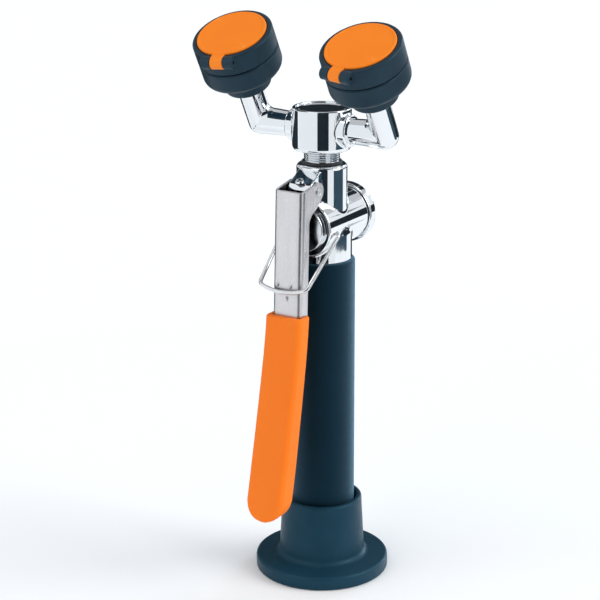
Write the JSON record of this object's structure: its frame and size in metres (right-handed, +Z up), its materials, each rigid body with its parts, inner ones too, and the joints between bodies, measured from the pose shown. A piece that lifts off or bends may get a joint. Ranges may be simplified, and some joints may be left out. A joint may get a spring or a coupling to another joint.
{
  "type": "deck mounted twin head eye wash drench unit",
  "caption": "Hand-held eye and face wash with a squeeze lever valve, wire hold-open bail and covered spray heads, standing in a round deck flange.",
  "frame": {"origin": "centre of the deck flange on its underside, where it meets the deck", "axes": "+Z up the handle, -Y to the lever side, +X to the right head as seen from the lever side"},
  "size_m": [0.13, 0.1089, 0.3359],
  "materials": {
    "deck_moulding": "fine moulded satin",
    "foam_sleeve": "matte foam skin",
    "plated_tube": "plated",
    "brass": "machined",
    "black_rubber": "soft",
    "chrome": "polished plate",
    "stainless": "drawn",
    "brushed_stainless": "brushed along its length",
    "orange_grip": "dipped vinyl",
    "bright_wire": "bright drawn wire",
    "head_moulding": "fine moulded matte",
    "spray_moulding": "moulded",
    "screen_mesh": "woven wire",
    "orange_cover": "satin moulded"
  },
  "bodies": {
    "deck": {"deck_flange": "deck_moulding"},
    "handset": {"grip_sleeve": "foam_sleeve", "handle_tube": "plated_tube", "inlet_adapter": "brass", "inlet_washer": "black_rubber", "valve_body": "chrome", "bonnet_nut": "plated_tube", "stem_seal": "black_rubber", "return_spring": "stainless", "rear_cap": "chrome", "cap_gasket": "black_rubber", "lever_pin": "stainless", "pin_screw": "plated_tube", "outlet_nipple": "plated_tube", "outlet_seal": "black_rubber", "manifold": "chrome", "manifold_plug": "chrome", "left_elbow": "chrome", "right_elbow": "chrome", "left_bowl": "head_moulding", "right_bowl": "head_moulding", "left_head_ring": "head_moulding", "right_head_ring": "head_moulding", "left_head_seal": "black_rubber", "right_head_seal": "black_rubber", "left_riser_seal": "black_rubber", "right_riser_seal": "black_rubber", "left_flow_disc": "spray_moulding", "right_flow_disc": "spray_moulding", "left_screen": "screen_mesh", "right_screen": "screen_mesh", "left_spray_plate": "spray_moulding", "right_spray_plate": "spray_moulding", "left_hinge_pin": "stainless", "right_hinge_pin": "stainless"},
    "stem": {"valve_stem": "stainless", "valve_disc": "black_rubber", "disc_nut": "plated_tube"},
    "lever": {"lever_channel": "brushed_stainless", "lever_grip": "orange_grip"},
    "bail": {"hold_open_bail": "bright_wire"},
    "left_cover": {"left_flip_cover": "orange_cover"},
    "right_cover": {"right_flip_cover": "orange_cover"}
  },
  "joints": [
    {"name": "handset_lift", "type": "slide", "parent": "deck", "child": "handset", "axis": [0, 0, 1], "range_m": [0, 0.06]},
    {"name": "lever_squeeze", "type": "hinge", "parent": "handset", "child": "lever", "pos_m": [0, -0.0192, 0.2387], "axis": [1, 0, 0], "range_deg": [0, 8], "stiffness_Nm_per_rad": 1.6, "springref_deg": -16.04},
    {"name": "stem_slide", "type": "slide", "parent": "handset", "child": "stem", "axis": [0, 1, 0], "range_m": [0, 0.0032]},
    {"name": "bail_swing", "type": "hinge", "parent": "handset", "child": "bail", "pos_m": [0, -0.0105, 0.2138], "axis": [-1, 0, 0], "range_deg": [0, 120]},
    {"name": "left_cover_flip", "type": "hinge", "parent": "handset", "child": "left_cover", "pos_m": [-0.03825, -0.04759, 0.31244], "axis": [0.989, 0.1305, 0.0694], "range_deg": [0, 160]},
    {"name": "right_cover_flip", "type": "hinge", "parent": "handset", "child": "right_cover", "pos_m": [0.03825, -0.04759, 0.31244], "axis": [0.989, -0.1305, -0.0694], "range_deg": [0, 160]}
  ],
  "couplings": [
    {"joint": "stem_slide", "follows": "lever_squeeze", "m_per_rad": 0.0225}
  ]
}
